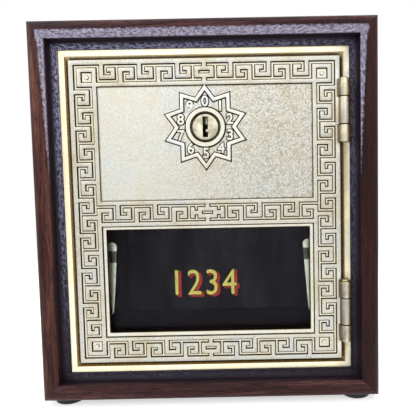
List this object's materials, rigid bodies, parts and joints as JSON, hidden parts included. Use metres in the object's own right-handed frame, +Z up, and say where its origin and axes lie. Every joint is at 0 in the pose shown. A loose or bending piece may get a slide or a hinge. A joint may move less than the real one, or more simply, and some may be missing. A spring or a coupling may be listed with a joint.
{
  "type": "post office box door bank",
  "caption": "Cast brass post office box door with meander relief, key lock, bolt and glass window, hinged in a frame in a mitred walnut coin bank case.",
  "frame": {"origin": "bottom centre of the whole object, on the surface its feet stand on", "axes": "+Z up, -Y out of the front of the door, +X to the right of someone facing the door"},
  "size_m": [0.1674, 0.11, 0.1886],
  "materials": {
    "walnut": "stained and varnished, satin",
    "walnut_panel": "stained, satin",
    "black_rubber": "matte",
    "cast_brass": "cast, lacquered, dark in the recesses",
    "hinge_pin_brass": "turned",
    "lock_brass": "turned",
    "spring_brass": "rolled strip",
    "brass_screw": "turned",
    "spring_steel": "drawn wire",
    "steel": "zinc plated sheet",
    "window_glass": "clear"
  },
  "bodies": {
    "case": {"case_top": "walnut", "case_bottom": "walnut", "case_left": "walnut", "case_right": "walnut", "back_panel": "walnut_panel", "back_panel_screws": "brass_screw", "foot_front_left": "black_rubber", "foot_front_right": "black_rubber", "foot_back_left": "black_rubber", "foot_back_right": "black_rubber", "foot_screws": "brass_screw", "door_frame": "cast_brass", "frame_screws": "brass_screw", "upper_hinge_pin": "hinge_pin_brass", "lower_hinge_pin": "hinge_pin_brass"},
    "door": {"door": "cast_brass", "window_glass": "window_glass", "glass_clip_left": "spring_brass", "glass_clip_right": "spring_brass", "glass_clip_screws": "brass_screw", "lock_body": "lock_brass", "lock_body_screws": "brass_screw", "driver_pins": "lock_brass", "pin_springs": "spring_steel", "chamber_cap": "lock_brass", "bolt_guide_inner": "steel", "bolt_guide_outer": "steel", "bolt_guide_screws": "brass_screw"},
    "plug": {"lock_plug": "lock_brass", "key_pins": "lock_brass", "lock_driver": "steel", "driver_screw": "brass_screw"},
    "bolt": {"bolt": "steel"}
  },
  "joints": [
    {"name": "door_swing", "type": "hinge", "parent": "case", "child": "door", "pos_m": [0.06758, -0.0504, 0.09582], "axis": [0, 0, 1], "range_deg": [0, 120]},
    {"name": "plug_turn", "type": "hinge", "parent": "door", "child": "plug", "pos_m": [0, -0.049, 0.13748], "axis": [0, 1, 0], "range_deg": [0, 90]},
    {"name": "bolt_slide", "type": "slide", "parent": "door", "child": "bolt", "axis": [-1, 0, 0], "range_m": [0, 0.00637]}
  ],
  "couplings": [
    {"joint": "bolt_slide", "follows": "plug_turn", "m_per_rad": 0.0040514}
  ]
}
